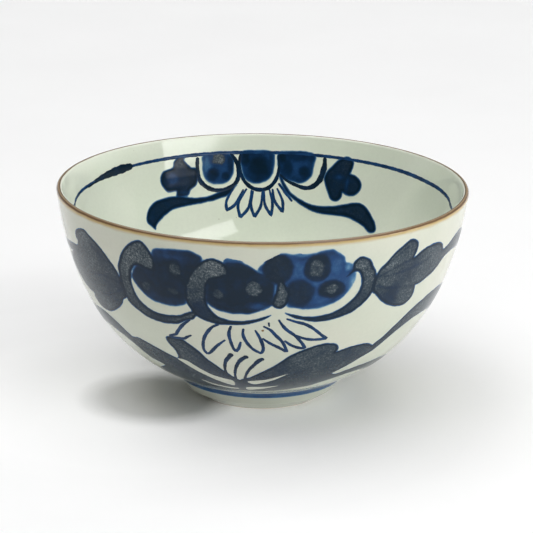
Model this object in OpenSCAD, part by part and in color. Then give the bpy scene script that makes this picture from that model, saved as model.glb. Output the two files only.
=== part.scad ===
// Round porcelain bowl with a dressed lip, on a turned foot ring.
// Millimetres. The origin is on the table under the middle of the foot, and +Z is up.
// The bowl is one fired piece, made of layers: clay wall and foot, a cobalt line banded on the clay,
// glaze over both, and an iron dressing around the lip. Each layer is its own node, and so is each
// zone of the clay: upper wall, lower wall, floor and foot. All of them meet face to face. They are
// turned from two outlines, traced from the lip down.

/* [Rim] */
// Diameter across the rim
rim_d = 120; // [112:1:128]
// Thickness of the lip
lip_t = 1.6; // [1.3:0.1:2.2]
// How far the iron dressing runs down the outside, below the round of the lip
dressing_run = 0.4; // [0.2:0.1:0.8]

/* [Wall] */
// Lean of the wall at the lip, in degrees from upright
lip_lean = 7; // [6:0.5:9]
// Bend radius of the outside near the lip
upper_bend = 110; // [100:1:120]
// Bend radius of the outside at mid height
middle_bend = 68; // [62:1:74]
// Bend radius of the outside low down
lower_bend = 48; // [45:1:50]
// Lean of the inside at the lip, where the wall thins towards its edge
inner_lip_lean = 14; // [12:0.5:15]
// Bend radius of the inside in its nearly straight stretch below the lip
inner_upper_bend = 245; // [230:5:260]
// Bend radius of the inside at mid height
inner_middle_bend = 58; // [56:1:60]
// Bend radius where the inside turns into the floor
inner_lower_bend = 34; // [33:0.5:35]

/* [Foot] */
// Height of the foot ring, from the table to where the wall starts
foot_h = 5.9; // [5:0.1:6.5]
// Length of the foot's leaning outer face, above its bevel
foot_face = 3.4; // [2.6:0.1:3.6]
// Lean of the foot's outer face, in degrees from upright
foot_lean = 33; // [30:1:36]
// Lean of the bevel around the foot's lower edge, in degrees from upright
bevel_lean = 56; // [50:1:60]
// Outer diameter of the bare edge that stands on the table
contact_d = 36.8; // [35:0.2:38]
// Width of the bare edge that stands on the table
contact_w = 1.8; // [1.4:0.1:2.4]
// Diameter of the well under the foot, through the clay
well_d = 32; // [28:0.5:33]

/* [Glaze and line] */
// Thickness of the glaze
glaze_t = 0.3; // [0.2:0.05:0.4]
// Thickness of the cobalt under the glaze
cobalt_t = 0.1; // [0.05:0.01:0.15]
// Height of the foot line ring above the table
foot_line_z = 6.8; // [6.2:0.1:7.2]
// Width of the foot line ring, measured upright
foot_line_w = 1.3; // [0.5:0.1:1.5]

/* [Hidden] */
$fn = 96;

// The longest turn in one step of a traced bend, in degrees
bend_step = 2.5;
// Steps around the round of the lip
lip_steps = 12;

// Leans where one bend of the outside hands over to the next
upper_lean = 17.5;
middle_lean = 33;
lower_lean = 66;
// The hollow between the wall and the foot, and the round where the foot's face meets its bevel
hollow_bend = 6;
bevel_bend = 1.5;
// Leans where one bend of the inside hands over to the next
inner_upper_lean = 18;
inner_turn_lean = 22;
inner_middle_lean = 40;
inner_lower_lean = 76;
inner_turn_bend = 92;
level = 90;

// Height where the lower wall's clay hands over to the upper wall's
wall_seam_z = 34;

// Height of the unglazed strip above the table, outside and inside the foot ring
bare_h = 0.3;

lip_r = lip_t / 2;
lip_x = rim_d / 2 - lip_r;
// The fall from the middle of the lip's round to the top of the foot, bend by bend
wall_drop = lip_r * sin(lip_lean)
    + upper_bend * (sin(upper_lean) - sin(lip_lean))
    + middle_bend * (sin(middle_lean) - sin(upper_lean))
    + lower_bend * (sin(lower_lean) - sin(middle_lean))
    + hollow_bend * (sin(lower_lean) - sin(foot_lean));
lip_z = foot_h + wall_drop;

// A traced point is [radius, height, lean], where lean is the wall's angle from upright.
// A bend turns from one lean to another, and a negative radius is a hollow bend.
function bend(from, radius, lean) =
    let (steps = ceil(abs(lean - from[2]) / bend_step))
    [for (i = [1 : steps])
        let (a = from[2] + (lean - from[2]) * i / steps)
        [from[0] - radius * (cos(from[2]) - cos(a)), from[1] - radius * (sin(a) - sin(from[2])), a]];

function straight(from, length) =
    [[from[0] - length * sin(from[2]), from[1] - length * cos(from[2]), from[2]]];

// A move is [radius, lean] for a bend, or [length] for a straight.
function trace(from, moves, i = 0) =
    i == len(moves) ? [] :
    let (move = moves[i])
    let (points = len(move) == 2 ? bend(from, move[0], move[1]) : straight(from, move[0]))
    concat(points, trace(points[len(points) - 1], moves, i + 1));

// The traced points, moved out of the surface by a distance, or into it where that is negative
function moved(path, distance) =
    [for (p = path) [p[0] + distance * cos(p[2]), p[1] - distance * sin(p[2])]];

function reversed(list) = [for (i = [len(list) - 1 : -1 : 0]) list[i]];

// Points around the round of the lip, from the outside over the top to the inside
function lip_round(radius) =
    [for (i = [1 : lip_steps - 1])
        let (a = -lip_lean + (180 + lip_lean - inner_lip_lean) * i / lip_steps)
        [lip_x + radius * cos(a), lip_z + radius * sin(a)]];

outer_start = [lip_x + lip_r * cos(lip_lean), lip_z - lip_r * sin(lip_lean), lip_lean];
dressing_lean = lip_lean + dressing_run / upper_bend * 180 / PI;
dressing_path = concat([outer_start], trace(outer_start, [[upper_bend, dressing_lean]]));
dressing_end = dressing_path[len(dressing_path) - 1];

wall_path = concat([dressing_end], trace(dressing_end, [
    [upper_bend, upper_lean],
    [middle_bend, middle_lean],
    [lower_bend, lower_lean],
    [-hollow_bend, foot_lean]
]));
foot_start = wall_path[len(wall_path) - 1];
face_path = concat([foot_start], trace(foot_start, [[foot_face], [bevel_bend, bevel_lean]]));
bevel_start = face_path[len(face_path) - 1];
bevel_length = (bevel_start[1] - bare_h) / cos(bevel_lean);
foot_path = concat(face_path, trace(bevel_start, [[bevel_length]]));

inner_start = [
    lip_x - lip_r * cos(inner_lip_lean), lip_z + lip_r * sin(inner_lip_lean), inner_lip_lean
];
inner_wall_path = concat([inner_start], trace(inner_start, [
    [inner_upper_bend, inner_upper_lean],
    [inner_turn_bend, inner_turn_lean],
    [inner_middle_bend, inner_middle_lean],
    [inner_lower_bend, inner_lower_lean]
]));
floor_start = inner_wall_path[len(inner_wall_path) - 1];
floor_bend = floor_start[0] / cos(inner_lower_lean);
inner_path = concat(inner_wall_path, bend(floor_start, floor_bend, level));

// A skin on the outside of the clay, between two depths below the traced surface
module outer_skin(path, from_depth, to_depth) {
    polygon(concat(moved(path, -from_depth), reversed(moved(path, -to_depth))));
}

module foot_line_outline() {
    intersection() {
        outer_skin(wall_path, glaze_t - cobalt_t, glaze_t);
        translate([0, foot_line_z - foot_line_w / 2]) square([rim_d / 2, foot_line_w]);
    }
}

// The thrown clay between two heights, under the glaze
module clay_zone(low, high) {
    rotate_extrude()
    intersection() {
        polygon(concat(
            lip_round(lip_r - glaze_t),
            moved(inner_path, glaze_t),
            [[0, foot_h]],
            reversed(moved(wall_path, -glaze_t)),
            reversed(moved(dressing_path, -glaze_t))
        ));
        translate([0, low]) square([rim_d / 2, high - low]);
    }
}

// Clay of the wall, from the lip down to mid height
module upper_wall() {
    color("gainsboro") clay_zone(wall_seam_z, lip_z + lip_r);
}

// Clay of the wall, from mid height down to the floor
module lower_wall() {
    color("lightgrey") clay_zone(floor_start[1], wall_seam_z);
}

// Clay of the floor, with its shallow dish
module bowl_floor() {
    color("silver") clay_zone(foot_h, floor_start[1]);
}

// Turned foot ring, with the bare edge that it stands on
module foot_ring() {
    color("wheat")
    rotate_extrude()
    polygon(concat(
        moved(foot_path, -glaze_t),
        [
            [contact_d / 2, 0],
            [contact_d / 2 - contact_w, 0],
            [well_d / 2, bare_h],
            [well_d / 2, foot_h]
        ]
    ));
}

// Clear, faintly green glaze over the inside: its outline's leans point into the clay
module inner_glaze() {
    color("honeydew")
    rotate_extrude()
    polygon(concat(moved(inner_path, 0), reversed(moved(inner_path, glaze_t))));
}

// The same glaze over the outside, down to the foot's bare edge, over the cobalt line
module outer_glaze() {
    color("ivory")
    rotate_extrude()
    difference() {
        outer_skin(concat(wall_path, foot_path), 0, glaze_t);
        foot_line_outline();
    }
}

// Glaze on the well's side and ceiling, under the foot
module foot_well_glaze() {
    color("lightcyan")
    difference() {
        translate([0, 0, bare_h]) cylinder(h = foot_h - bare_h, d = well_d);
        cylinder(h = foot_h - glaze_t, d = well_d - 2 * glaze_t);
    }
}

// Iron-brown dressing over the lip
module rim_dressing() {
    color("saddlebrown")
    rotate_extrude()
    polygon(concat(
        reversed(moved(dressing_path, 0)),
        lip_round(lip_r),
        moved([inner_start], 0),
        moved([inner_start], glaze_t),
        reversed(lip_round(lip_r - glaze_t)),
        moved(dressing_path, -glaze_t)
    ));
}

// Cobalt line ring in the hollow above the foot
module foot_line() {
    color("royalblue")
    rotate_extrude()
    foot_line_outline();
}

upper_wall();
lower_wall();
bowl_floor();
foot_ring();
inner_glaze();
outer_glaze();
foot_well_glaze();
rim_dressing();
foot_line();
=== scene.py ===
"""Porcelain bowl with a brushed cobalt design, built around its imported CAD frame.

Lengths are millimetres until a mesh is made. On a wall, a place is (azimuth, height): azimuth is in
degrees, 0 in the middle of the design and positive to the viewer's right, and height is above the
table. The design is one half turn of brushwork, laid twice around the bowl, outside and inside.
"""

from math import ceil, cos, degrees, pi, radians, sin

import bpy
import numpy as np
from mathutils import Matrix, Vector


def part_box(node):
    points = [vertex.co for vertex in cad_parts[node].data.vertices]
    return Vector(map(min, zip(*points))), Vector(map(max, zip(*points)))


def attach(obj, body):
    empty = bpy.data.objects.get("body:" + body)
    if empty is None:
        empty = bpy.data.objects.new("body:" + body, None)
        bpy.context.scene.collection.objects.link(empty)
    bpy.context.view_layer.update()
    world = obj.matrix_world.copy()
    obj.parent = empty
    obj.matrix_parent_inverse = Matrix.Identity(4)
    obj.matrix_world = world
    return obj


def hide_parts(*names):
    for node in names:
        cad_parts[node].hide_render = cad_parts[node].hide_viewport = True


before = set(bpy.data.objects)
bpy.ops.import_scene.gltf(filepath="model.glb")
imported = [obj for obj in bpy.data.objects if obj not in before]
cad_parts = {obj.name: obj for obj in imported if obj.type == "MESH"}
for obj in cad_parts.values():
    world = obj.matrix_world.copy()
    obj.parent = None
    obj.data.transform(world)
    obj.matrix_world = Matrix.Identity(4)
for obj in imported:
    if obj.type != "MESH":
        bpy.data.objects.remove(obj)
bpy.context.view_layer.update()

MM = 0.001
ROOT = "root"

# ------------------------ sizes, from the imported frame
RIM_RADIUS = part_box("rim_dressing")[1].x / MM
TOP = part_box("rim_dressing")[1].z / MM
BARE_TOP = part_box("outer_glaze")[0].z / MM
WELL_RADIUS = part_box("foot_well_glaze")[1].x / MM
WELL_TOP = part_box("foot_well_glaze")[1].z / MM
LINE_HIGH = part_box("foot_line")[1].z / MM

# ------------------------ sizes no box gives, as in the CAD
LIP_ROUND = 0.8
LIP_LEAN = 7
INNER_LIP_LEAN = 14
DRESSING_RUN = 0.4
UPPER_BEND = 110
GLAZE = 0.3
BEVEL_LEAN = 56
CONTACT_OUTER = 18.4
CONTACT_INNER = 16.6
FLOOR_LEAN = 76      # where the inside's wall hands over to its floor
WELL_FILLET = 0.6    # the round where glaze has pooled in the corner of the well
FRINGE = 2.2         # how far below the lip's top the dressing stains the glaze

TURNS = 360          # facets around a turned piece
FLOOR_REACH = 4.0    # metres of studio floor on each side


# ------------------------ the two turned outlines
def traced(start, moves):
    """Points (radius, height, lean) down an outline, where lean is the wall's angle from upright.
    A move is (bend radius, lean to reach), or (None, length) for a straight."""
    points = [start]
    for bend, goal in moves:
        radius, height, lean = points[-1]
        a0 = radians(lean)
        steps = max(2, ceil(abs(goal - lean) / 0.75)) if bend else 6
        for k in range(1, steps + 1):
            if bend:
                a = a0 + (radians(goal) - a0) * k / steps
                points.append((radius - bend * (cos(a0) - cos(a)),
                               height - bend * (sin(a) - sin(a0)), degrees(a)))
            else:
                run = goal * k / steps
                points.append((radius - run * sin(a0), height - run * cos(a0), lean))
    return points


def lip_point(lean, inward):
    a = radians(lean)
    side = -1 if inward else 1
    return (RIM_RADIUS - LIP_ROUND + side * LIP_ROUND * cos(a),
            TOP - LIP_ROUND - side * LIP_ROUND * sin(a), lean)


DRESSED = traced(lip_point(LIP_LEAN, False),
                 [(UPPER_BEND, LIP_LEAN + degrees(DRESSING_RUN / UPPER_BEND))])
WALL_LINE = traced(DRESSED[-1], [(UPPER_BEND, 17.5), (68, 33), (48, 66), (-6, 33)])
FOOT_FACE = traced(WALL_LINE[-1], [(None, 3.4), (1.5, BEVEL_LEAN)])
BEVEL = (FOOT_FACE[-1][1] - BARE_TOP) / cos(radians(BEVEL_LEAN))
FOOT_LINE = FOOT_FACE + traced(FOOT_FACE[-1], [(None, BEVEL)])[1:]
INSIDE_TURN = traced(lip_point(INNER_LIP_LEAN, True),
                     [(245, 18), (92, 22), (58, 40), (34, FLOOR_LEAN)])
FLOOR_BEND = INSIDE_TURN[-1][0] / cos(radians(FLOOR_LEAN))
INSIDE_LINE = INSIDE_TURN + traced(INSIDE_TURN[-1], [(FLOOR_BEND, 90)])[1:]


def moved(line, distance):
    """The outline's (radius, height) points, moved out of the body by a distance."""
    return [(r + distance * cos(radians(a)), z - distance * sin(radians(a))) for r, z, a in line]


def lip_arc(radius, steps=32):
    """Points around the round of the lip, from the outside over the top to the inside."""
    turns = [radians((180 + LIP_LEAN - INNER_LIP_LEAN) * k / steps - LIP_LEAN)
             for k in range(steps + 1)]
    return [(RIM_RADIUS - LIP_ROUND + radius * cos(a), TOP - LIP_ROUND + radius * sin(a))
            for a in turns]


def hand_thrown(points):
    """A thrown bowl is never quite round: its wall comes in and its lip dips, by under 0.2 mm."""
    x, y, z = np.moveaxis(np.asarray(points, float), -1, 0)
    turn = np.arctan2(y, x)
    narrow = 1 - 0.0009 * (1 + np.cos(2 * turn + 0.7)) - 0.0005 * (1 + np.cos(3 * turn - 1.2))
    dip = 1 - 0.0008 * (1 + np.cos(turn + 2.1)) * (z / TOP)
    return np.stack([x * narrow, y * narrow, z * dip], -1)


class Wall:
    """One side of the bowl's wall as a surface that can be painted."""

    def __init__(self, line, toward_viewer):
        points = np.array(line)
        self.front = -1.0 if toward_viewer else 1.0
        steps = np.hypot(np.diff(points[:, 0]), np.diff(points[:, 1]))
        self.arc = np.concatenate([[0], np.cumsum(steps)])
        self.r, self.z, self.lean = points[:, 0], points[:, 1], np.radians(points[:, 2])

    def at(self, height, measure):
        """One of the outline's measures, its arc, r or lean, at a height."""
        return np.interp(height, self.z[::-1], measure[::-1])

    def point(self, azimuth, height, lift=0.0):
        """Where a place on the wall is, lifted off it along the wall's own normal."""
        a = np.radians(azimuth)
        height = np.asarray(height, float)
        lean = self.at(height, self.lean)
        out = -self.front
        r = self.at(height, self.r) + out * lift * np.cos(lean)
        z = height - out * lift * np.sin(lean)
        return np.stack(np.broadcast_arrays(r * np.sin(a), self.front * r * np.cos(a), z), -1)


OUTSIDE = Wall(DRESSED[:-1] + WALL_LINE, True)
INSIDE = Wall(INSIDE_TURN, False)


# ------------------------ node materials
class Nodes:
    """The nodes of a material or a world, and what is often put among them."""

    def __init__(self, owner):
        owner.use_nodes = True
        self.owner, self.tree = owner, owner.node_tree
        self.shader = self.tree.nodes.get("Principled BSDF")

    def feed(self, node, inputs):
        """Puts a number, a colour or another node's output into each of the node's named inputs."""
        for name, value in inputs.items():
            if isinstance(value, bpy.types.NodeSocket):
                self.tree.links.new(value, node.inputs[name])
            else:
                node.inputs[name].default_value = value

    def node(self, kind, **inputs):
        node = self.tree.nodes.new("ShaderNode" + kind)
        self.feed(node, inputs)
        return node

    def math(self, operation, a, b, clamp=False):
        node = self.node("Math")
        node.operation = operation
        node.use_clamp = clamp
        self.feed(node, {0: a, 1: b})
        return node.outputs[0]

    def mix(self, factor, a, b, blend="MIX"):
        node = self.node("Mix")
        node.data_type = "RGBA"
        node.blend_type = blend
        self.feed(node, {0: factor, 6: a, 7: b})
        return node.outputs[2]

    def place(self):
        return self.node("TexCoord").outputs["Object"]

    def painted(self):
        """The first two numbers that a mesh's paint carries at each point."""
        paint = self.node("Attribute")
        paint.attribute_name = "paint"
        return self.node("SeparateColor", Color=paint.outputs["Color"]).outputs[:2]

    def cloud(self, size, detail=2.0, roughness=0.5):
        """Soft noise whose patches are about size mm across, from 0 to 1."""
        return self.node("TexNoise", Vector=self.place(), Scale=1 / (size * MM), Detail=detail,
                         Roughness=roughness).outputs[0]

    def ramp(self, factor, stops, smooth=False):
        """A colour ramp: stops are (place, colour), where a colour is one grey or three values."""
        node = self.node("ValToRGB")
        node.color_ramp.interpolation = "EASE" if smooth else "LINEAR"
        elements = node.color_ramp.elements
        while len(elements) < len(stops):
            elements.new(0.5)
        for element, (place, colour) in zip(elements, stops):
            element.position = place
            element.color = (*colour, 1) if isinstance(colour, tuple) else (colour,) * 3 + (1,)
        self.feed(node, {0: factor})
        return node.outputs[0]

    def surface(self, colour, roughness, level):
        self.feed(self.shader, {"Base Color": colour, "Roughness": roughness,
                                "Specular IOR Level": level})

    def bump(self, height, depth_mm):
        node = self.node("Bump", Distance=depth_mm * MM, Height=height)
        self.feed(self.shader, {"Normal": node.outputs[0]})

    def glaze(self, thin, thick):
        """Glaze over porcelain: where it lies thicker it is greener, and a few fine specks show."""
        drift = self.ramp(self.cloud(22, 1), [(0.35, 0), (0.65, 1)], True)
        grain = self.ramp(self.cloud(0.9), [(0.3, 0.975), (0.62, 1)])
        tint = self.mix(1, self.mix(drift, thin, thick), grain, "MULTIPLY")
        speck = self.node("TexVoronoi", Vector=self.place(), Scale=1 / (9 * MM))
        spot = self.ramp(speck.outputs["Distance"], [(0.008, 1), (0.022, 0)])
        return self.mix(spot, tint, (0.30, 0.26, 0.19, 1))


# One glaze inside and out, in two copies: the outside's tints are painted darker, as painted shade,
# and the inside's lighter, as painted light in the bowl's hollow.
OUTSIDE_TINTS_SHADED = ((0.575, 0.588, 0.492, 1), (0.54, 0.57, 0.472, 1))
INSIDE_TINTS_LIT = ((0.755, 0.795, 0.69, 1), (0.73, 0.78, 0.665, 1))


def glaze_material(name, tints, stain_and_foot_shade=False):
    """Glossy glaze. Where stained, the iron dressing has run a little way down it from the lip, and
    it
    turns a darker green towards the foot: painted shade on the shaded foot, and glaze pooled there."""
    m = Nodes(bpy.data.materials.new(name))
    colour = m.glaze(*tints)
    if stain_and_foot_shade:
        height = m.math("DIVIDE", m.node("SeparateXYZ", Vector=m.place()).outputs[2], MM)
        above = m.math("SUBTRACT", height, TOP - FRINGE)
        uneven = m.math("SUBTRACT", m.cloud(7), 0.45)
        fringe = m.ramp(m.math("ADD", above, uneven), [(0.3, 0), (0.8, 0.5)])
        colour = m.mix(fringe, colour, (0.46, 0.36, 0.17, 1))
        # Darker green below about 8 mm: painted shade over the shaded foot, and glaze pooled
        # thicker there.
        foot_shade_and_pool = m.ramp(m.math("DIVIDE", height, 10), [(0.5, 0.5), (0.8, 0)])
        colour = m.mix(foot_shade_and_pool, colour, (0.4, 0.43, 0.37, 1))
    m.surface(colour, 0.07, 0.5)
    m.bump(m.cloud(11), 0.035)
    return m.owner


def paint_material(name, tints):
    """Cobalt under the glaze. The mesh carries how much pigment lies at each point, from 0 to 1,
    and how far it has turned slate grey."""
    m = Nodes(bpy.data.materials.new(name))
    pigment, slate = m.painted()
    pooled = m.math("SUBTRACT", m.cloud(2.6, 3, 0.6), 0.5)
    grain = m.math("SUBTRACT", m.cloud(0.45, 2, 0.6), 0.5)
    depth = m.math("ADD", pigment, m.math("MULTIPLY", pooled, 0.3))
    depth = m.math("ADD", depth, m.math("MULTIPLY", grain, 0.1), True)
    blue = m.ramp(depth, [(0.1, (0.18, 0.33, 0.43)), (0.3, (0.045, 0.14, 0.275)),
                          (0.55, (0.011, 0.05, 0.15)), (0.76, (0.004, 0.023, 0.066)),
                          (0.96, (0.003, 0.014, 0.03))])
    greyer = m.math("MULTIPLY", slate, 0.22)
    speckle = m.math("ADD", m.cloud(0.55, 3, 0.75), greyer)
    dried = m.ramp(speckle, [(0.42, (0.009, 0.022, 0.036)), (0.62, (0.036, 0.054, 0.07)),
                             (0.76, (0.09, 0.112, 0.128)), (0.9, (0.26, 0.29, 0.29))])
    body = m.mix(m.ramp(slate, [(0.05, 0), (0.45, 1)]), blue, dried)
    cover = m.ramp(pigment, [(0, 0), (0.24, 1)])
    colour = m.mix(cover, m.glaze(*tints), body)
    m.surface(colour, m.ramp(slate, [(0, 0.1), (1, 0.26)]), 0.2)
    m.bump(m.cloud(11), 0.035)
    return m.owner


def dressing_material():
    """Iron dressing. The mesh carries how far round the lip a point is, from 0 outside to 1 inside:
    golden outside, brown on the shoulder, a tan band on top that is a painted highlight along the
    round of the lip, then a dark edge where it stops, and bare glaze inside."""
    m = Nodes(bpy.data.materials.new("iron_dressing"))
    uneven = m.math("MULTIPLY", m.math("SUBTRACT", m.cloud(4, 3), 0.5), 0.12)
    place = m.math("ADD", m.painted()[0], uneven, True)
    # The tan stops at 0.45 and 0.57 are a painted highlight along the top of the lip's round.
    tone = m.ramp(place, [(0, (0.52, 0.44, 0.25)), (0.06, (0.46, 0.34, 0.14)),
                          (0.15, (0.42, 0.29, 0.115)), (0.2, (0.22, 0.13, 0.055)),
                          (0.25, (0.135, 0.08, 0.04)), (0.38, (0.15, 0.09, 0.048)),
                          (0.45, (0.3, 0.215, 0.13)), (0.57, (0.33, 0.25, 0.16)),
                          (0.62, (0.14, 0.09, 0.05)), (0.69, (0.12, 0.075, 0.045)),
                          (0.73, (0.45, 0.42, 0.33)), (0.77, (0.7, 0.72, 0.62)),
                          (1, INSIDE_TINTS_LIT[0][:3])])
    m.surface(tone, 0.16, 0.5)
    m.bump(m.cloud(0.8), 0.012)
    return m.owner


def clay_material():
    m = Nodes(bpy.data.materials.new("bare_porcelain"))
    tone = m.ramp(m.cloud(0.7, 4, 0.7), [(0.3, (0.56, 0.5, 0.42)), (0.6, (0.69, 0.64, 0.56))])
    warm = m.ramp(m.cloud(5), [(0.45, 0), (0.75, 0.5)])
    m.surface(m.mix(warm, tone, (0.5, 0.36, 0.24, 1)), 0.75, 0.3)
    m.bump(m.cloud(0.35, 3, 0.7), 0.03)
    return m.owner


def floor_material():
    """Pale studio floor. It glows a little far away, as a lit sweep would, and near the bowl it
    glows with painted light that lifts the bowl's shadow."""
    m = Nodes(bpy.data.materials.new("pale_floor"))
    tone = m.ramp(m.cloud(60), [(0.3, 0.885), (0.7, 0.905)])
    m.surface(tone, 0.6, 0.1)
    middle = m.node("VectorMath")
    middle.operation = "DISTANCE"
    m.feed(middle, {0: m.place(), 1: (-30 * MM, -10 * MM, 0)})
    away = middle.outputs["Value"]
    # Painted light: a glow round a point left of and in front of the bowl that lifts its shadow on
    # the floor.
    shadow_lift_glow = m.ramp(m.math("DIVIDE", away, 100 * MM),
                    [(0.15, 0), (0.25, 0.28), (0.42, 0.17), (0.55, 0.12), (0.7, 0.05), (0.95, 0)])
    far = m.ramp(m.math("DIVIDE", away, FLOOR_REACH),
                 [(0.02, 0), (0.035, 0.05), (0.11, 0.05), (0.2, 0.1), (0.4, 0.35), (0.9, 0.85)])
    m.feed(m.shader, {"Emission Color": m.math("ADD", shadow_lift_glow, far), "Emission Strength": 1})
    return m.owner


# ------------------------ meshes
def add_object(name, data):
    thing = bpy.data.objects.new(name, data)
    bpy.context.scene.collection.objects.link(thing)
    return thing


def add_piece(name, points, faces, material, stands_for=(), paint=None, sharp=None):
    """Makes one piece of the bowl from points in mm. Its shading is smooth, apart from edges
    sharper than the angle sharp."""
    mesh = bpy.data.meshes.new(name)
    mesh.from_pydata((hand_thrown(points) * MM).tolist(), [], faces)
    mesh.validate()
    mesh.shade_smooth()
    if sharp:
        mesh.set_sharp_from_angle(angle=radians(sharp))
    if paint is not None:
        layer = mesh.attributes.new("paint", "FLOAT_COLOR", "POINT")
        layer.data.foreach_set("color", np.asarray(paint, np.float32).ravel())
    mesh.materials.append(material)
    piece = add_object(name, mesh)
    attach(piece, ROOT)
    if stands_for:
        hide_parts(*stands_for)
    return piece


def turned_piece(name, loop, material, stands_for, tones=None):
    """A solid of revolution from a closed loop of (radius, height) points, with a tone for each."""
    points, rings = [], []
    angles = np.arange(TURNS) * 2 * pi / TURNS
    for radius, height in loop:
        if radius < 1e-6:
            rings.append([len(points)] * TURNS)
            points.append((0, 0, height))
            continue
        rings.append(list(range(len(points), len(points) + TURNS)))
        points.extend(np.stack([radius * np.cos(angles), radius * np.sin(angles),
                                np.full(TURNS, height)], -1).tolist())
    faces = []
    for ring, after in zip(rings, rings[1:] + rings[:1]):
        if ring[0] == ring[1] and after[0] == after[1]:
            continue
        for k in range(TURNS):
            n = (k + 1) % TURNS
            faces.append(list(dict.fromkeys([ring[k], ring[n], after[n], after[k]])))
    paint = None
    if tones is not None:
        paint = np.repeat([(tone, 0, 0, 1) for tone in tones], TURNS, 0)
    return add_piece(name, points, faces, material, stands_for, paint, sharp=38)


# ------------------------ the bowl itself
inside_glaze = glaze_material("inside_glaze", INSIDE_TINTS_LIT)
outside_glaze = glaze_material("outside_glaze", OUTSIDE_TINTS_SHADED, stain_and_foot_shade=True)
bare_porcelain = clay_material()
iron_dressing = dressing_material()

turned_piece(
    "clay_body",
    lip_arc(LIP_ROUND - GLAZE, 16)
    + moved(INSIDE_LINE[1:-1], GLAZE)
    + [(0, INSIDE_LINE[-1][1] - GLAZE), (0, WELL_TOP), (WELL_RADIUS, WELL_TOP),
       (WELL_RADIUS, BARE_TOP), (CONTACT_INNER, 0), (CONTACT_OUTER, 0)]
    + moved(FOOT_LINE, -GLAZE)[::-1] + moved(WALL_LINE, -GLAZE)[::-1][1:]
    + moved(DRESSED, -GLAZE)[::-1][1:],
    bare_porcelain, ["upper_wall", "lower_wall", "bowl_floor", "foot_ring"])
turned_piece(
    "glaze_inside",
    moved(INSIDE_LINE[:-1], 0) + [(0, INSIDE_LINE[-1][1]), (0, INSIDE_LINE[-1][1] - GLAZE)]
    + moved(INSIDE_LINE[:-1], GLAZE)[::-1],
    inside_glaze, ["inner_glaze"])
turned_piece(
    "glaze_outside",
    moved(WALL_LINE + FOOT_LINE[1:], 0) + moved(WALL_LINE + FOOT_LINE[1:], -GLAZE)[::-1],
    outside_glaze, ["outer_glaze"])
turned_piece(
    "glaze_in_well",
    [(WELL_RADIUS, BARE_TOP), (WELL_RADIUS, WELL_TOP), (0, WELL_TOP), (0, WELL_TOP - GLAZE)]
    + [(WELL_RADIUS - GLAZE - WELL_FILLET * (1 - sin(radians(9 * k))),
        WELL_TOP - GLAZE - WELL_FILLET * (1 - cos(radians(9 * k)))) for k in range(11)]
    + [(WELL_RADIUS - GLAZE, BARE_TOP)],
    outside_glaze, ["foot_well_glaze"])
lip_skin = moved(DRESSED[::-1], 0) + lip_arc(LIP_ROUND)[1:]
lip_core = lip_arc(LIP_ROUND - GLAZE)[::-1] + moved(DRESSED, -GLAZE)[1:]
turned_piece(
    "lip_dressing", lip_skin + lip_core, iron_dressing, ["rim_dressing"],
    [k / (len(lip_skin) - 1) for k in range(len(lip_skin))]
    + [1 - k / (len(lip_core) - 1) for k in range(len(lip_core))])


# ------------------------ brushwork
LIFT = 0.03          # how far a painted film stands off the glaze
LINE_LIFT = 0.045    # how far a drawn line stands off it
SINK = 0.12          # how far paint reaches into the glaze
CELL = 0.34          # the side of a film's mesh cells
CELL_RADIUS = 57     # the wall radius that turns a cell's width into degrees
CLEAR = 9.0          # the distance kept where no painted edge is near


def rise(value):
    """0 below 0, 1 above 1, and an even S between."""
    t = np.clip(value, 0, 1)
    return t * t * (3 - 2 * t)


def smooth_course(places, closed, steps=7):
    """A smooth curve through the places. A place given twice is a corner."""
    p = np.array(places, float)
    n = len(p)
    spans = n if closed else n - 1
    out = []
    for i in range(spans):
        q = [p[(i + k) % n] if closed else p[min(max(i + k, 0), n - 1)] for k in (-1, 0, 1, 2)]
        if np.allclose(q[1], q[2]):
            continue
        for t in np.arange(steps) / steps:
            out.append(0.5 * (2 * q[1] + (q[2] - q[0]) * t
                              + (2 * q[0] - 5 * q[1] + 4 * q[2] - q[3]) * t ** 2
                              + (3 * q[1] - q[0] - 3 * q[2] + q[3]) * t ** 3))
    if not closed:
        out.append(p[-1])
    return np.array(out)


def mottle(across, down, size, seed):
    """Smooth random patches about size mm across, from -1 to 1."""
    lattice = np.random.RandomState(seed).rand(128, 128) * 2 - 1
    u, v = across / size, down / size
    i, j = np.floor(u).astype(int), np.floor(v).astype(int)
    s, t = rise(u - i), rise(v - j)
    pick = lambda a, b: lattice[a % 128, b % 128]
    return ((pick(i, j) * (1 - s) + pick(i + 1, j) * s) * (1 - t)
            + (pick(i, j + 1) * (1 - s) + pick(i + 1, j + 1) * s) * t)


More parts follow.
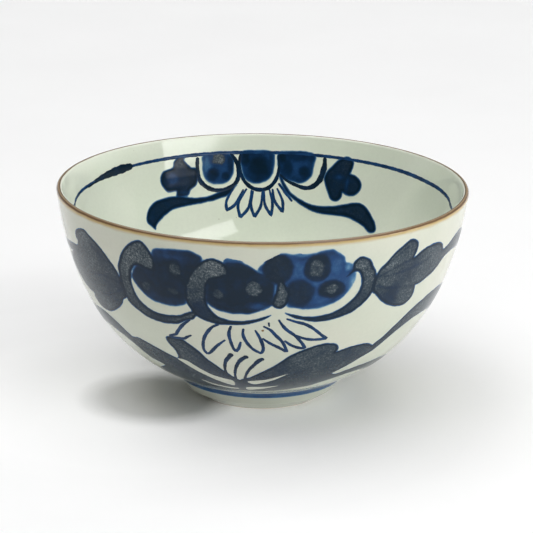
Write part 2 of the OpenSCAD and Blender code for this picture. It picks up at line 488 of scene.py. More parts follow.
class Painting:
    """Brushwork over a stretch of one wall. At each place it keeps how much pigment lies there, how
    far that has turned slate grey, and the distance to the painted edge, negative inside."""

    def __init__(self, wall, azimuths, heights, seed):
        self.wall = wall
        self.azimuth = np.arange(azimuths[0], azimuths[1], degrees(CELL / CELL_RADIUS))
        arcs = np.arange(wall.at(heights[1], wall.arc), wall.at(heights[0], wall.arc), CELL)
        self.height = np.interp(arcs, wall.arc, wall.z)
        self.az, self.z = np.meshgrid(self.azimuth, self.height)
        self.points = wall.point(self.az, self.z)
        self.edge = np.full(self.az.shape, CLEAR)
        self.pigment = np.zeros(self.az.shape)
        self.slate = np.zeros(self.az.shape)
        across, down = self.az + 360, self.z
        self.waver = (0.10 * mottle(across, down, 2.2, seed)
                      + 0.05 * mottle(across, down, 0.9, seed + 1))
        self.patch = mottle(across, down, 3.4, seed + 2)
        self.streak = mottle(across + 1.5 * down, down - 0.6 * across, 1.5, seed + 3)

    def distance(self, outline):
        """Signed distance in mm from each place to a closed outline."""
        loop = smooth_course(outline, True)
        low, high = loop.min(0), loop.max(0)
        rows = np.flatnonzero((self.height > low[1] - 3) & (self.height < high[1] + 3))
        columns = np.flatnonzero((self.azimuth > low[0] - 5) & (self.azimuth < high[0] + 5))
        result = np.full(self.az.shape, CLEAR)
        if not len(rows) or not len(columns):
            return result
        window = np.s_[rows[0]:rows[-1] + 1, columns[0]:columns[-1] + 1]
        here = self.points[window].reshape(-1, 1, 3)
        start = self.wall.point(loop[:, 0], loop[:, 1])
        along = np.roll(start, -1, 0) - start
        offset = here - start
        t = np.clip((offset * along).sum(-1) / np.maximum((along ** 2).sum(-1), 1e-9), 0, 1)
        near = np.sqrt(((offset - t[..., None] * along) ** 2).sum(-1).min(1))
        x, y = self.az[window].reshape(-1, 1), self.z[window].reshape(-1, 1)
        x1, y1 = loop[:, 0], loop[:, 1]
        x2, y2 = np.roll(x1, -1), np.roll(y1, -1)
        with np.errstate(divide="ignore", invalid="ignore"):
            crosses = ((y1 > y) != (y2 > y)) & (x < (x2 - x1) * (y - y1) / (y2 - y1) + x1)
        inside = crosses.sum(1) % 2 == 1
        result[window] = np.where(inside, -near, near).reshape(result[window].shape)
        return result

    def lay(self, distance, amount, pigment, slate):
        self.pigment = self.pigment * (1 - amount) + pigment * amount
        self.slate = self.slate * (1 - amount) + slate * amount
        self.edge = np.minimum(self.edge, distance)

    def wash(self, outline, strength, bleed=0.9):
        """A thin blue wash that pools near its edge and bleeds out softly into the glaze."""
        d = self.distance(outline) + 1.5 * self.waver
        pigment = strength + 0.1 * np.exp(-((d + 1.1) / 0.8) ** 2) + 0.07 * self.patch
        self.lay(d - 0.45 * bleed, rise(0.5 - d / bleed), pigment, 0)

    def dab(self, azimuth, height, width, tall, strength, slate, soft):
        """A round touch of pigment that sinks into what lies under it, with an edge soft mm wide.
        Its width is in degrees."""
        radius = self.wall.at(height, self.wall.r)
        half = radians(width) * radius / 2
        reach = np.hypot(np.radians(self.az - azimuth) * radius / half,
                         (self.z - height) / (tall / 2))
        d = (reach - 1) * min(half, tall / 2) + 2.2 * self.waver
        amount = rise(0.5 - d / soft) * (self.edge < 0)
        core = rise(-0.3 - d / 1.1 + 0.3 * self.streak)
        dried = np.clip(slate * (0.85 + 0.3 * self.patch + 0.3 * self.streak), 0, 1)
        self.lay(self.edge, amount, strength + 0.05 * self.patch, core * dried)

    def stroke(self, outline, tones, rim=0.5, bleed=0.45):
        """A full stroke, navy along its rim. Inside, it dries to slate: each tone says how far, as
        (azimuth, height, amount), and the amount drifts from one to the next."""
        d = self.distance(outline) + self.waver
        weight, total = 0, 0
        for azimuth, height, amount in tones:
            w = 1 / (0.5 + (self.az - azimuth) ** 2 + (self.z - height) ** 2) ** 1.5
            weight, total = weight + w, total + w * amount
        core = rise((-d - rim) / 0.6 + 0.25 * self.streak)
        slate = np.clip(total / weight * (0.95 + 0.22 * self.patch + 0.16 * self.streak), 0, 1)
        self.lay(d - 0.45 * bleed, rise(0.5 - d / bleed), 0.98 - 0.10 * core, core * slate)

    def vein(self, places, width, depth):
        """A darker line brushed along inside a stroke."""
        line = smooth_course(places, False)
        spots = self.wall.point(line[:, 0], line[:, 1])
        near = np.full(self.az.shape, CLEAR)
        low, high = line.min(0) - 3, line.max(0) + 3
        window = (self.az > low[0]) & (self.az < high[0]) & (self.z > low[1]) & (self.z < high[1])
        gaps = np.linalg.norm(self.points[window][:, None] - spots[None], axis=2)
        near[window] = gaps.min(1)
        dark = depth * np.exp(-((near + 0.6 * self.waver) / (width / 2)) ** 2)
        self.slate = self.slate * (1 - dark)
        inside = self.edge < -0.2
        self.pigment = np.where(inside, np.maximum(self.pigment, 0.97 * dark), self.pigment)

    def bare(self, outline):
        """A sliver left white between strokes."""
        d = self.distance(outline) + 0.5 * self.waver
        self.pigment = self.pigment * rise(0.5 + d / 0.25)
        self.edge = np.maximum(self.edge, -d)

    def film(self):
        """The painting as a thin closed film: points, faces and the paint at each point."""
        edge = self.edge.copy()
        edge[[0, -1]] = 1
        edge[:, [0, -1]] = 1
        lift = LIFT * (0.35 + 0.65 * rise(-edge / 0.7))
        layers = [self.wall.point(self.az, self.z, lift), self.wall.point(self.az, self.z, -SINK),
                  np.stack([self.pigment, self.slate, 0 * edge, 0 * edge + 1], -1)]
        within = edge < 0
        number = np.full(edge.shape, -1)
        number[within] = np.arange(within.sum())
        stores = [[layer[within]] for layer in layers]
        count = int(within.sum())
        cuts = []
        for first, second in ((np.s_[:, :-1], np.s_[:, 1:]), (np.s_[:-1], np.s_[1:])):
            a, b = edge[first], edge[second]
            crossing = (a < 0) != (b < 0)
            t = np.clip(a / np.where(crossing, a - b, 1), 0.05, 0.95)[crossing][:, None]
            cut = np.full(a.shape, -1)
            cut[crossing] = count + np.arange(crossing.sum())
            count += int(crossing.sum())
            cuts.append(cut)
            for layer, store in zip(layers, stores):
                store.append(layer[first][crossing] * (1 - t) + layer[second][crossing] * t)
        top, bottom, paint = (np.concatenate(store) for store in stores)
        level, upright = cuts
        corners = [number[:-1, :-1], number[:-1, 1:], number[1:, 1:], number[1:, :-1]]
        sides = [level[:-1], upright[:, 1:], level[1:], upright[:, :-1]]
        whole = np.all([c >= 0 for c in corners], 0)
        upper = np.stack([c[whole] for c in corners[::-1]], -1).tolist()
        walls = []
        mixed = np.any([c >= 0 for c in corners], 0) & ~whole
        around = np.stack([part[mixed] for pair in zip(corners, sides) for part in pair], -1)
        inner = int(within.sum())
        for cell in around.tolist():
            shape = [v for v in cell if v >= 0]
            upper.append(shape[::-1])
            walls += [(p, q, q + count, p + count) for p, q in zip(shape, shape[1:] + shape[:1])
                      if p >= inner and q >= inner]
        lower = [[v + count for v in face[::-1]] for face in upper]
        return np.concatenate([top, bottom]), upper + lower + walls, np.concatenate([paint, paint])


def brush_line(wall, places, widths, pigment, slate=0.0, seed=1):
    """A drawn line as a thin closed film with rounded ends. Its widths in mm are spread evenly
    along it."""
    course = smooth_course(places, False)
    spots = wall.point(course[:, 0], course[:, 1])
    run = np.concatenate([[0], np.cumsum(np.linalg.norm(np.diff(spots, axis=0), axis=1))])
    length = run[-1]
    ends = [max(0.05, min(widths[0] / 2, length / 3)), max(0.05, min(widths[-1] / 2, length / 3))]
    nodes = np.array([0.02, 0.12, 0.3, 0.55, 0.8])
    middle = np.linspace(ends[0], length - ends[1], max(3, ceil(length / 0.45)))
    along = np.concatenate([nodes * ends[0], middle, length - nodes[::-1] * ends[1]])
    wide = np.interp(along / length, np.linspace(0, 1, len(widths)), widths)
    wide = wide * (1 + 0.07 * np.sin(1.9 * along + seed) + 0.05 * np.sin(4.7 * along + 2.3 * seed))
    for end, reach in ((along, ends[0]), (length - along, ends[1])):
        wide = wide * np.sqrt(np.clip(1 - (1 - np.minimum(end / reach, 1)) ** 2, 0.01, 1))
    wide = np.maximum(wide, 0.08)
    azimuth, height = np.interp(along, run, course[:, 0]), np.interp(along, run, course[:, 1])
    base = wall.point(azimuth, height)
    normal = wall.point(azimuth, height, 1.0) - base
    side = np.cross(np.gradient(base, axis=0), normal)
    side /= np.linalg.norm(side, axis=1)[:, None]
    section = [(x, y * LINE_LIFT) for x, y in
               ((-1, 0.2), (-0.6, 0.75), (0, 1), (0.6, 0.75), (1, 0.2))] + [(1, -SINK), (-1, -SINK)]
    rings = [base + side * (x * wide / 2)[:, None] + normal * y for x, y in section]
    points = np.stack(rings, 1).reshape(-1, 3)
    turn, stations = len(section), len(along)
    last = (stations - 1) * turn
    faces = [(i + k, i + (k + 1) % turn, i + turn + (k + 1) % turn, i + turn + k)
             for i in range(0, last, turn) for k in range(turn)]
    faces += [tuple(range(turn))[::-1], tuple(range(last, last + turn))]
    fade = 0.06 * np.sin(0.8 * along + seed)
    paint = [[pigment + f - (0.12 if abs(x) == 1 else 0), slate, 0, 1]
             for f in fade for x, _ in section]
    return points, faces, np.array(paint)


def joined(films):
    """Several films as one."""
    points, faces, paint, start = [], [], [], 0
    for film_points, film_faces, film_paint in films:
        points.append(film_points)
        paint.append(film_paint)
        faces += [[v + start for v in face] for face in film_faces]
        start += len(film_points)
    return np.concatenate(points), faces, np.concatenate(paint)


def lay_twice(name, film, material):
    """Puts the same brushwork on the front and, turned half way round, on the back."""
    points, faces, paint = film
    for end, sign in (("front", 1), ("back", -1)):
        add_piece(f"{name}_{end}", points * (sign, sign, 1), faces, material, paint=paint)


outside_paint = paint_material("cobalt_outside", OUTSIDE_TINTS_SHADED)
inside_paint = paint_material("cobalt_inside", INSIDE_TINTS_LIT)


# ------------------------ the outside design
def outside_scrolls():
    """The band below the lip: three blue discs in slate hooks, with a leaf spray at each end."""
    p = Painting(OUTSIDE, (-80, 136), (31, 61), 11)
    left_wash = [
        (-30.2, 57.9), (-26, 58.9), (-22, 59.3), (-18.4, 58.9), (-16, 57.2), (-18, 52), (-20.8, 47),
        (-21.6, 44), (-22, 42.7), (-24.8, 41.8), (-28.4, 41.5), (-32, 42.1), (-34.8, 43.4),
        (-37.2, 45.7), (-38.4, 48.6), (-36, 52), (-31, 52.5)]
    middle_wash = [
        (-9.6, 57.4), (-6, 57.2), (-2.8, 55.6), (-0.4, 54.1), (2, 52.8), (3.2, 51.1), (3.6, 48.1),
        (3.2, 45.2), (2.4, 43.7), (-1.2, 41.9), (-5.2, 41.1), (-9.2, 41.3), (-12.8, 42.2),
        (-15.2, 43.9), (-15.4, 46), (-15.2, 49), (-12, 52.5), (-9.5, 53.5)]
    right_wash = [
        (-1, 54.8), (0.8, 57), (4, 58.9), (6, 59.8), (10.8, 59.2), (18, 60.2), (20.4, 59.3),
        (22, 57.8), (22.8, 55.9), (24.8, 55.2), (26, 52.2), (25.6, 48.9), (24, 46.3), (21.6, 44.4),
        (18, 43), (14, 42.4), (10, 43), (7.2, 43.7), (7.8, 47.8), (6.8, 50), (4.8, 51.2),
        (2.5, 52.8)]
    p.wash(left_wash, 0.70)
    p.wash(middle_wash, 0.80)
    p.wash(right_wash, 0.54)
    p.wash([(2.8, 53), (3.6, 50.6), (3.4, 46.4), (4.6, 46.4), (4.8, 50.8), (4.2, 53.2)], 0.22, 0.5)
    for touch in (
            (-27, 49.6, 19, 12.4, 0.93, 0, 3), (-19, 52, 7, 9, 0.93, 0, 3),
            (-24, 53.1, 4.4, 6.2, 0.95, 0.5, 1), (-34, 46.2, 4, 4.2, 0.93, 0.4, 1.2),
            (-25.4, 46.2, 5.4, 3.8, 0.93, 0.3, 1.2), (-8, 50, 14, 13, 0.96, 0, 2.5),
            (-1, 48.6, 8.4, 8, 0.95, 0, 1.5), (-2.2, 49.1, 5.8, 6, 0.96, 0.75, 1),
            (-12.2, 47, 4.6, 4, 0.95, 0.4, 1), (4.4, 55.2, 8, 9, 0.95, 0.1, 1.2),
            (14.9, 55, 7.4, 8.4, 0.94, 0, 1), (14.8, 55, 5.8, 6.8, 0.95, 0.6, 1),
            (10.4, 47.7, 8.4, 8.4, 0.92, 0.1, 1.8), (19.4, 48.3, 7.8, 5.6, 0.94, 0, 1),
            (19.4, 48.3, 6, 4.2, 0.95, 0.55, 1), (20.8, 55.4, 2.6, 5.5, 0.44, 0, 1.8),
            (10.8, 59.2, 3, 1.4, 0.3, 0, 1.4), (25.6, 49.4, 2, 6, 0.24, 0, 2),
            (23.8, 54.6, 1.8, 2.4, 0.22, 0, 1.4), (-8.4, 57.4, 6, 1.2, 0.5, 0, 1),
            (-0.6, 43.6, 5, 2, 0.6, 0, 1.6)):
        p.dab(*touch)
    left_hook = [
        (-30.8, 51.4), (-30.2, 55.4), (-33.2, 59.7), (-36.8, 59.1), (-40, 56.4), (-42.2, 52.9),
        (-43.6, 48.9), (-42.8, 40.7), (-40, 37.9), (-36, 35.9), (-31, 35.2), (-26, 35.7),
        (-22.2, 37.4), (-20.2, 38.1), (-18.4, 40.4), (-20.6, 40.4), (-24, 38.8), (-28, 38.1),
        (-32, 38.2), (-35.6, 39.5), (-38, 41.8), (-39.2, 45), (-39, 48.2), (-38, 50.7), (-36, 52.3)]
    middle_hook = [
        (-8.6, 53), (-9.6, 56), (-12.8, 57.7), (-16.2, 56.3), (-19.2, 53.3), (-21, 49.6),
        (-21.8, 46.3), (-21.6, 43.7), (-20.4, 41.1), (-18.4, 38.9), (-14, 37.4), (-9.2, 37.3),
        (-4, 37.8), (0, 39.1), (3, 40.9), (-0.4, 39.8), (-4.4, 38.8), (-8.8, 38.7), (-12.4, 39.8),
        (-14.6, 41.9), (-15.4, 44.1), (-15.2, 48.2), (-14, 51), (-9.2, 52.4)]
    right_hook = [
        (23.3, 51.4), (25, 53.6), (25.2, 55.7), (27.2, 57.1), (30, 56.1), (31.6, 53.6),
        (32.8, 51.4), (33, 48), (32.6, 45.7), (31.6, 43.9), (29.2, 41.4), (26, 39.6), (22, 38.6),
        (18, 38.1), (14, 38.5), (10.8, 39.4), (8, 40.6), (6.8, 41.5), (10, 40.6), (14, 39.8),
        (17, 39.9), (20.8, 40.7), (24.4, 42.5), (26.8, 44.6), (28.2, 47.1), (28.4, 49.6),
        (27.6, 52.1), (26, 52.9)]
    bud = [
        (4.6, 52), (3.9, 48.4), (2.9, 44.4), (5.2, 42.9), (7.1, 44.4), (7.7, 47.8), (6.4, 50.4),
        (5.2, 52)]
    left_spray = [
        (-44.4, 48.6), (-46.8, 51.4), (-50, 54.3), (-55.2, 57.1), (-58.4, 57.9), (-62.8, 56.1),
        (-63.6, 53.9), (-62.8, 53), (-65, 50.6), (-69.6, 48.2), (-74, 46), (-76, 44), (-74, 41.4),
        (-70, 39), (-66, 37.7), (-62, 37.1), (-62, 37.1), (-63, 35.4), (-61.2, 33.4), (-57.6, 32.9),
        (-54, 33.6), (-49.6, 35.4), (-46, 37.9), (-44.8, 39.6), (-42.8, 41), (-43.2, 45)]
    right_spray = [
        (33.2, 51.4), (36, 54.3), (39.2, 57.1), (42.4, 58.9), (44.4, 59.4), (46.4, 58.4),
        (47.1, 56.8), (46.6, 54.6), (46, 53.4), (46, 53.4), (48.8, 54.6), (52, 55.4), (55.2, 55.7),
        (58, 55.2), (60, 53.9), (61.6, 52.1), (66, 53.2), (70, 54.3), (75.2, 54.6), (80, 53),
        (88, 50.2), (96, 49), (104, 49.6), (112, 50.8), (118, 51.2), (118, 48.8), (112, 48.4),
        (104, 47.4), (96, 46.8), (88, 47.4), (80, 48.6), (74, 49.6), (68, 50), (63.6, 49.3),
        (60, 47), (56, 45.4), (52, 44.3), (49.8, 44.1), (49.8, 44.1), (50.2, 41.4), (49.2, 39.5),
        (46.8, 38.6), (43.2, 38.9), (39.2, 40.4), (36, 42.5), (34, 44.6), (32.6, 46.1)]
    p.stroke(left_spray, [
        (-60, 55, 0.75), (-52, 52, 0.35), (-56, 46, 0.5), (-47, 45, 0.3), (-70, 43, 0.8),
        (-56, 38, 0.6), (-48, 40, 0.3)])
    p.stroke(right_spray, [
        (44, 57, 0.5), (38, 54, 0.75), (36, 49, 0.55), (46, 51, 0.35), (57, 53, 0.6), (52, 47, 0.6),
        (40, 43, 0.1), (46, 42, 0.55), (75, 52, 0.8), (110, 49, 0.6)])
    for line in (
            [(34, 50), (38, 51.4), (42, 52.4), (46, 53.4)],
            [(36, 49.6), (42, 50), (48, 50.6), (54, 51.6)],
            [(34, 47.2), (38, 45.8), (42, 45.2), (48, 44.4)], [(35, 52.4), (39, 55), (43, 57.4)],
            [(-44, 47), (-50, 51.6), (-55, 54)], [(-44, 45), (-51, 45.6), (-58, 44.6)],
            [(-44, 43), (-50, 40), (-56, 38.8)]):
        p.vein(line, 0.9, 0.75)
    p.stroke(left_hook, [
        (-35, 56.5, 0.9), (-40, 51, 0.8), (-41.6, 46, 0.6), (-39, 40, 0.4), (-31, 36.8, 0.25),
        (-19.5, 39.6, 0.7)])
    p.stroke(middle_hook, [
        (-12.5, 54.6, 1.0), (-17.6, 51, 0.75), (-19.6, 47, 0.5), (-18.4, 42, 0.1), (-9, 38.2, 0.25),
        (1, 39.9, 0.1)])
    p.stroke(right_hook, [
        (28.4, 54.6, 0.65), (31, 49, 0.5), (30, 45, 0.35), (24, 40.6, 0.2), (14, 39.1, 0.1)])
    p.stroke(bud, [(5.4, 47, 0.8), (5, 44.4, 0.7)])
    return p.film()


def outside_leaves():
    """The plant over the foot: broad leaves to both sides, and a stem that runs round the bowl."""
    p = Painting(OUTSIDE, (-54, 136), (8.5, 41), 23)
    stem_right = [
        (40.8, 26.1), (44, 28.6), (48, 32.1), (52, 35), (56, 36.8), (60, 38), (64, 38.6),
        (70, 38.6), (76, 37.5), (80, 36), (88, 33.6), (96, 31.6), (105, 30.6), (115, 31.8),
        (120, 31.7), (125, 30), (130, 26.8), (133, 25), (132.5, 20.8), (130, 22.4), (125, 25),
        (120, 26.1), (115, 26.4), (105, 24.8), (96, 25.2), (88, 26.4), (80, 28), (76, 29.6),
        (70, 31.4), (64, 32), (60, 32), (56, 31.4), (52, 30), (48, 27.9), (44, 24.8), (40.8, 23.2)]
    right_leaf = [
        (-5.2, 17.4), (-2, 18.9), (2, 21.1), (6, 23.7), (10, 26.7), (14, 28.5), (18, 29.8),
        (22, 30.1), (24.8, 29.4), (26.2, 27.8), (25.7, 26.4), (25.7, 26.4), (28, 27), (32, 27.7),
        (36, 27.7), (38.4, 27.3), (40.8, 26.1), (42.5, 25), (40.8, 23.2), (38, 21.8), (34, 19.6),
        (29.2, 17.3), (29.2, 17.3), (32, 16.6), (36, 17.3), (40, 17.9), (44, 18.2), (52, 18.6),
        (58, 18.2), (64, 16.8), (70, 14.6), (76, 11.8), (80, 9.6), (76, 9.2), (70, 10.2),
        (64, 11.8), (58, 13.6), (52, 14.8), (46, 15.5), (40, 15.4), (36, 14.8), (32, 14.1),
        (28, 13.2), (24, 12.1), (18, 11.5), (12, 10.8), (4, 10.3), (-4, 10.2), (-10.8, 10.4),
        (-10.2, 13.5), (-8, 16.3)]
    left_leaf = [
        (-31, 30.4), (-26, 30.4), (-24, 29.3), (-20.8, 26.7), (-18, 23.7), (-14, 20.4),
        (-11.2, 18.1), (-9.2, 16.7), (-6, 14), (-6, 11), (-14, 9.8), (-24, 9.6), (-34, 10),
        (-44, 12.2), (-48, 15), (-41.4, 17.6), (-46.8, 19.6), (-50, 22.5), (-51.5, 24.8),
        (-48.8, 26.2), (-44.8, 26.6), (-40, 25.5), (-34.8, 23.8), (-30.6, 22.6), (-30, 25.3),
        (-31.4, 27.9), (-31.8, 29.4)]
    p.stroke(stem_right, [
        (44, 26.5, 0.25), (52, 32.5, 0.4), (62, 35, 0.6), (76, 33, 0.7), (100, 28, 0.6),
        (128, 25, 0.3)])
    p.stroke(right_leaf, [
        (16, 26, 0.5), (6, 20, 0.3), (30, 22, 0.35), (20, 14.5, 0.4), (50, 16.8, 0.6), (0, 12, 0.2),
        (70, 12, 0.6)])
    p.stroke(left_leaf, [
        (-28, 27, 0.4), (-16, 18.6, 0.3), (-44, 23, 0.5), (-30, 14, 0.4), (-12, 11.5, 0.2)])
    for line in (
            [(-2, 15.5), (6, 19), (14, 23.5), (22, 27.5)],
            [(2, 14.8), (12, 18.4), (20, 21.8), (32, 25)],
            [(8, 13), (20, 15.5), (34, 17.4), (50, 17.2)],
            [(-12, 17), (-18, 21.5), (-24, 26), (-29, 29)],
            [(-14, 12.7), (-28, 17), (-40, 22), (-48, 24.4)]):
        p.vein(line, 0.8, 0.55)
    p.bare([
        (-31, 22.4), (-27.4, 22.3), (-24, 20.2), (-20, 17.9), (-16, 16.7), (-11.5, 15.7),
        (-11.5, 13.4), (-14, 13.6), (-18, 14.9), (-22, 16.8), (-26, 19), (-30, 21.6)])
    p.bare([
        (-27, 14.4), (-22, 12.9), (-16, 12), (-11.2, 11.6), (-11.2, 11), (-16, 11.1), (-22, 12),
        (-26, 13.6)])
    p.bare([
        (-5.2, 15.8), (2, 16.7), (8, 18.5), (15.2, 20.9), (10, 18.9), (6, 16.9), (2, 15.4),
        (-2.8, 14.4)])
    p.bare([(-6, 12.6), (2, 13), (8, 13.5), (4.8, 12.6), (0, 11.5), (-6, 10.9)])
    return p.film()


def outside_lines():
    """Drawn lines: the fan of thin petals, and the three commas that rise from the stem."""
    petals = [
        [(-12.4, 37.2), (-14.8, 35.9), (-17.2, 33), (-18.4, 30.4), (-18.8, 27.8), (-18, 26.3),
         (-18, 26.3), (-16.6, 27), (-14, 29.6), (-11, 32)],
        [(-8.8, 37), (-9.6, 34.8), (-9.6, 32.6), (-8.8, 29.3), (-8, 28.1), (-8, 28.1), (-7, 29.3),
         (-6.2, 31.7)],
        [(-5.2, 36.3), (-5.4, 34.1), (-4.4, 31.5), (-2.4, 29.1), (0.2, 27.6), (0.2, 27.6),
         (0.8, 29.3), (0.2, 31.9), (-0.8, 34.1), (-1.8, 35.9)],
        [(0.4, 33.1), (2.8, 31.3), (5.2, 30), (8.4, 28.1), (8.4, 28.1), (7.6, 30), (6.4, 32),
         (4.4, 34.1), (2.8, 35.9), (0.6, 37.2)],
        [(7.2, 32.2), (9.6, 30.4), (12.4, 29.3), (14.2, 29.1), (14.2, 29.1), (12.8, 31.1),
         (10.4, 33.7), (7.6, 35.9), (6, 37.8), (5, 39.4)],
        [(10, 34.1), (12.8, 32.8), (16, 32), (20.8, 31.9), (20.8, 31.9), (18.8, 33.3), (16, 35.6),
         (13.2, 37.4), (10, 38.5), (7.2, 39.6)],
        [(-21.2, 37.8), (-24, 35.6), (-26.4, 33), (-27.2, 31.9), (-27.2, 31.9), (-30, 30.6),
         (-25.2, 30.7), (-23.6, 31.5), (-21.8, 32.4)]]
    commas = [
        [(-9.4, 27.2), (-10.8, 25.6), (-12, 24.1), (-12.8, 21.9), (-13, 19.8), (-12.4, 17.9)],
        [(-4.2, 26.5), (-6.4, 25.2), (-8, 23.3), (-9.2, 20.7), (-9.8, 18.1), (-9.7, 16.4)],
        [(1.2, 25.6), (-0.4, 25), (-2.4, 23), (-4.4, 20.7), (-5.8, 18.1), (-6.6, 15.6)]]
    films = [brush_line(OUTSIDE, petal, (0.7, 1.1, 1.0, 0.95, 1.1, 0.6), 0.7, seed=k)
             for k, petal in enumerate(petals)]
    films += [brush_line(OUTSIDE, comma, (1.7, 1.3, 1.0, 0.8, 0.7), 0.86, seed=20 + k)
              for k, comma in enumerate(commas)]
    films.append(brush_line(OUTSIDE, [(2.2, 38.5), (2.4, 37)], (0.6, 0.4), 0.75))
    return joined(films)


lay_twice("scroll_band", outside_scrolls(), outside_paint)
lay_twice("plant", outside_leaves(), outside_paint)
lay_twice("petals", outside_lines(), outside_paint)
speck, speck_faces, speck_paint = brush_line(OUTSIDE, [(0.1, 35.6), (0.9, 35.8)], (0.6, 0.75), 0.16)
add_piece("iron_speck", speck, speck_faces, iron_dressing, paint=speck_paint)

# The line banded round the hollow above the foot. It runs on a little way down the foot.
banded = [p for p in WALL_LINE if p[1] < LINE_HIGH] + traced(WALL_LINE[-1], [(None, 0.6)])[-1:]
tones = [0.26] + [0.5] * (len(banded) - 2) + [0.3]
turned_piece("foot_line_ring", moved(banded, LIFT) + moved(banded[::-1], -SINK), outside_paint,
             ["foot_line"], tones + tones[::-1])


# ------------------------ the inside design
def inside_scrolls():
    """The same band inside, brushed more loosely: three discs, and a leaf cluster and a long
    stroke on each side."""
    p = Painting(INSIDE, (-47, 49), (35.5, 60.5), 37)
    left_disc = [
        (-19.1, 57), (-19.6, 54), (-19.2, 50.6), (-17.4, 48.8), (-14.5, 48.2), (-11.4, 49),
        (-9.6, 51.4), (-9.8, 54.4), (-10.8, 57.2), (-15, 57.6)]
    middle_disc = [
        (-6.9, 57.4), (-7, 53), (-5.4, 49.4), (-2, 48.2), (1.6, 49.2), (3.4, 52), (3.6, 55.4),
        (2.8, 57.6), (-2, 58)]
    right_disc = [
        (5.1, 57.4), (4.8, 53), (6.2, 50.4), (9, 49.2), (12.6, 48.8), (15.6, 50.8), (16.3, 54),
        (16.2, 57.4), (11, 58)]
    p.wash(left_disc, 0.58)
    p.wash(middle_disc, 0.64)
    p.wash(right_disc, 0.64)
    for touch in (
            (-18, 54.4, 2.6, 5, 0.36, 0, 1.4), (-14, 55.8, 6.4, 4.6, 0.62, 0.9, 1.2),
            (-16.2, 51.2, 3.8, 3.2, 0.86, 0, 1.4), (-12.2, 50.6, 2.6, 2.2, 0.85, 0, 1),
            (-10.4, 54, 1.6, 5, 0.8, 0, 1), (-1.4, 52.8, 6.4, 7, 0.93, 0, 2.4),
            (-5.6, 55.4, 2.4, 4, 0.97, 0, 1), (11, 56.4, 8, 3, 0.8, 0, 1.6),
            (13.4, 52.1, 3.2, 3, 0.88, 0, 1.2), (8.2, 53, 3, 4, 0.86, 0, 1.4),
            (6, 56, 2.4, 3, 0.95, 0, 1)):
        p.dab(*touch)
    left_cluster = [
        (-29, 56), (-27, 57.4), (-25.4, 57), (-25.7, 56), (-23.7, 53.8), (-22, 53.3), (-21.6, 51),
        (-22.4, 48.6), (-24.5, 47.3), (-26, 45.7), (-29.7, 45.7), (-29.7, 47.3), (-33, 47.6),
        (-34.9, 50.6), (-33.6, 53.4), (-30.4, 54), (-29.4, 54.6)]
    right_cluster = [
        (21, 52.8), (22.5, 54.4), (25, 57), (27.5, 57.8), (29.4, 56.7), (29.6, 55.2), (29, 53),
        (29, 53), (31.3, 52.5), (33.3, 50.9), (33.5, 48.8), (31.7, 47), (29.2, 46.7), (27.1, 47.4),
        (27.1, 47.4), (26.9, 45.7), (25.4, 44.4), (23.3, 44.9), (21.9, 47), (20.8, 49.4),
        (20.4, 51)]
    left_sweep = [
        (-25.7, 44.9), (-29.9, 45.7), (-34.1, 45.7), (-38.2, 45.2), (-41.2, 43.6), (-43, 41.7),
        (-43.2, 39.9), (-40.7, 37.5), (-40.7, 37.5), (-39.9, 38.6), (-36.2, 40.7), (-32, 42.3),
        (-27.8, 42.7), (-23.7, 42.9), (-18.2, 43.4), (-14.5, 44.1), (-11.2, 45.2), (-8.7, 47.8),
        (-8.7, 47.8), (-12.4, 46.5), (-17.4, 44.9), (-21.6, 44.5)]
    right_sweep = [
        (5.5, 50.7), (7.6, 47.8), (9.7, 45.4), (13, 43.6), (16.8, 42.5), (21.3, 42.3), (25.4, 42.9),
        (30, 44.1), (33.8, 44.8), (36.7, 44.1), (39.6, 42.3), (42.1, 40.2), (43.1, 38.1),
        (40.8, 37.4), (37.9, 38.6), (34.6, 39.6), (30.4, 40.4), (25, 40.3), (19.3, 40.4),
        (15.1, 41.5), (11.8, 43.1), (8.2, 45.4), (6.2, 48.4)]
    p.stroke(left_cluster, [(-27, 55.5, 0.5), (-27, 53, 0), (-31, 50, 0), (-24, 50, 0.1)], 0.6, 0.9)
    p.stroke(right_cluster, [(26, 55, 0.15), (31, 50, 0.1), (25, 46, 0.1)], 0.6, 0.9)
    p.stroke(left_sweep, [(-40, 42, 0.1), (-30, 44, 0.1), (-16, 45, 0)], 0.6, 0.9)
    p.stroke(right_sweep, [(8, 47, 0), (20, 41.4, 0.1), (32, 42.6, 0.15), (40, 40, 0.15)], 0.6, 0.9)
    for azimuth, height, width, tall in (
            (-30.5, 51, 4.6, 3.4), (-27, 46.6, 3, 1.2), (28.4, 49.6, 1.2, 4.6),
            (25.4, 51.6, 3.4, 1.4)):
        p.dab(azimuth, height, width, tall, 0.66, 0, 1.3)
    return p.film()


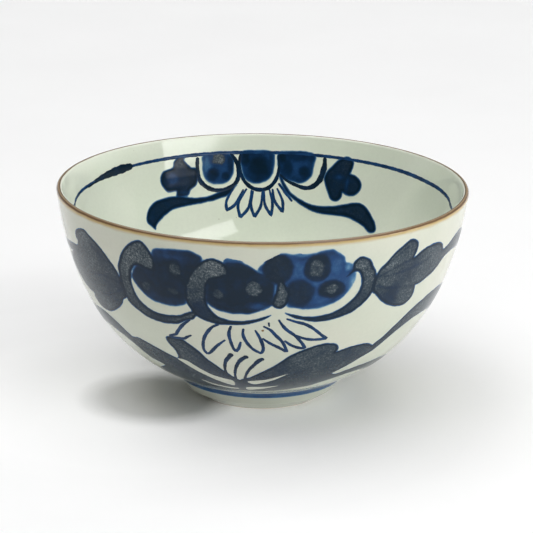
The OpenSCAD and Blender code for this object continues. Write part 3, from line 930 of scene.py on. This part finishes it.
def inside_lines():
    """Drawn lines inside: the garland line below the lip, the disc outlines and the petals."""
    garland = [
        (-45, 57), (-35, 57.2), (-30, 57.3), (-20, 57.4), (0, 57.4), (20, 57.3), (30, 57.2),
        (40, 57.1), (50, 56.9), (60, 56.5), (68, 56.3), (75, 55.8), (78.3, 55.3), (80.4, 54.6),
        (86, 53.7), (92, 53.3), (98, 53.6), (100, 54.4), (105, 55.3), (110, 55.7), (115, 55.9),
        (120, 56.2), (125, 56.7)]
    tadpole = [(-68, 55.4), (-63, 56), (-58, 56.4), (-53, 56.7), (-49, 56.9), (-44.6, 57)]
    left_outline = [
        (-21, 56.7), (-21.4, 54), (-21.4, 50.9), (-20.3, 48.8), (-17.8, 47), (-14.5, 46.3),
        (-11.2, 47), (-8.7, 48.6), (-7.8, 51.5), (-8.5, 54.6), (-10.3, 57.3)]
    middle_outline = [
        (-7, 57), (-7.6, 53.4), (-6.4, 49.4), (-4, 47), (-1, 46.2), (2, 46.9), (4.2, 49.2),
        (5.2, 52.6), (4.8, 56.8)]
    right_outline = [
        (19.7, 57), (19.9, 54.1), (19, 50.4), (16.8, 48), (13.8, 47.3), (10, 48.3), (7.6, 49.4),
        (5.5, 51)]
    petals = [
        [(-9.9, 46.6), (-12.4, 43), (-12.4, 40.4), (-12.4, 40.4), (-9.4, 42), (-6.4, 46.4)],
        [(-5.3, 46.6), (-8.4, 42), (-7.8, 38.2), (-7.8, 38.2), (-4.8, 41), (-3.7, 46.2)],
        [(-3.2, 46), (-4, 41.6), (-2.8, 38.3), (-2.8, 38.3), (-0.6, 41.4), (-0.1, 46)],
        [(0.4, 46), (0.8, 41.8), (3, 38.8), (3, 38.8), (3.4, 42), (2.2, 46.4)],
        [(3.2, 46.6), (4.2, 42.8), (7, 39.9), (7, 39.9), (6.8, 43), (4.7, 46.8)],
        [(5.1, 48.3), (8, 45.2), (10.1, 43)]]
    films = [brush_line(INSIDE, garland, (0.9, 1.2, 1.1, 1.0, 1.2, 1.1, 1.0, 0.9), 0.62, seed=2),
             brush_line(INSIDE, tadpole, (0.8, 1.0, 1.5, 2.1, 2.6, 2.7, 1.6), 0.95, 0.08, seed=4),
             brush_line(INSIDE, left_outline, (1.1, 1.6, 1.4, 1.2, 1.5, 1.0), 0.9, 0, seed=5),
             brush_line(INSIDE, middle_outline, (1.0, 1.2, 1.3, 1.2, 1.0), 0.88, 0, seed=6),
             brush_line(INSIDE, right_outline, (1.0, 2.2, 1.7, 1.3, 1.1, 0.9), 0.92, 0.1, seed=7)]
    films += [brush_line(INSIDE, petal, (0.7, 0.9, 1.1, 0.9, 0.6), 0.62, seed=8 + k)
              for k, petal in enumerate(petals)]
    return joined(films)


lay_twice("inside_scrolls", inside_scrolls(), inside_paint)
lay_twice("inside_lines", inside_lines(), inside_paint)


# ------------------------ floor, light and camera
def add_floor():
    """A round pale floor, wide enough for every view."""
    turns = 96
    angles = [2 * pi * k / turns for k in range(turns)]
    points = [(0, 0, 0)] + [(FLOOR_REACH * cos(a), FLOOR_REACH * sin(a), 0) for a in angles]
    faces = [(0, 1 + k, 1 + (k + 1) % turns) for k in range(turns)]
    mesh = bpy.data.meshes.new("floor")
    mesh.from_pydata(points, [], faces)
    mesh.materials.append(floor_material())
    floor = add_object("floor", mesh)


def add_softbox(name, azimuth, elevation, distance, width, height, watts):
    """A soft light aimed at the bowl, at an azimuth from the camera, positive to its right."""
    light = bpy.data.lights.new(name, "AREA")
    light.shape = "RECTANGLE"
    light.size, light.size_y = width, height
    light.energy = watts
    lamp = add_object(name, light)
    a, e = radians(azimuth), radians(elevation)
    lamp.location = distance * Vector((sin(a) * cos(e), -cos(a) * cos(e), sin(e)))
    aim = Vector((0, 0, 0.04)) - lamp.location
    lamp.rotation_euler = aim.to_track_quat("-Z", "Y").to_euler()


def add_room_light():
    """A dim room with a pale band at the horizon, where the floor ends."""
    m = Nodes(bpy.data.worlds.new("room"))
    up = m.node("SeparateXYZ", Vector=m.node("TexCoord").outputs["Generated"])
    tone = m.ramp(up.outputs[2], [(0.06, 0.96), (0.14, 0.08)], True)
    m.feed(m.tree.nodes["Background"], {"Color": tone})
    bpy.context.scene.world = m.owner


def add_camera():
    """A long lens about 0.76 m away, 17 degrees above the table, turned a little about its axis."""
    data = bpy.data.cameras.new("camera")
    data.sensor_width = 36
    data.lens = 174.0
    data.clip_start, data.clip_end = 0.05, 50
    camera = add_object("camera", data)
    place = Vector((0, -0.7233, 0.2611))
    aim = Vector((0.00138, 0, 0.0377)) - place
    turn = aim.to_track_quat("-Z", "Y").to_matrix().to_4x4() @ Matrix.Rotation(0.01275, 4, "Z")
    camera.matrix_world = Matrix.Translation(place) @ turn
    bpy.context.scene.camera = camera


add_floor()
add_room_light()
add_softbox("overhead", 0, 90, 1.9, 2.6, 2.6, 49.5)
add_softbox("low_window", 40, 14.4, 1.5, 1.27, 0.14, 3.2)
add_softbox("high_window", 45, 40, 1.5, 1.0, 0.22, 3.4)
add_softbox("right_strip", 80, 2, 1.5, 1.05, 0.18, 11)
add_camera()
bpy.context.scene.view_settings.view_transform = "Standard"
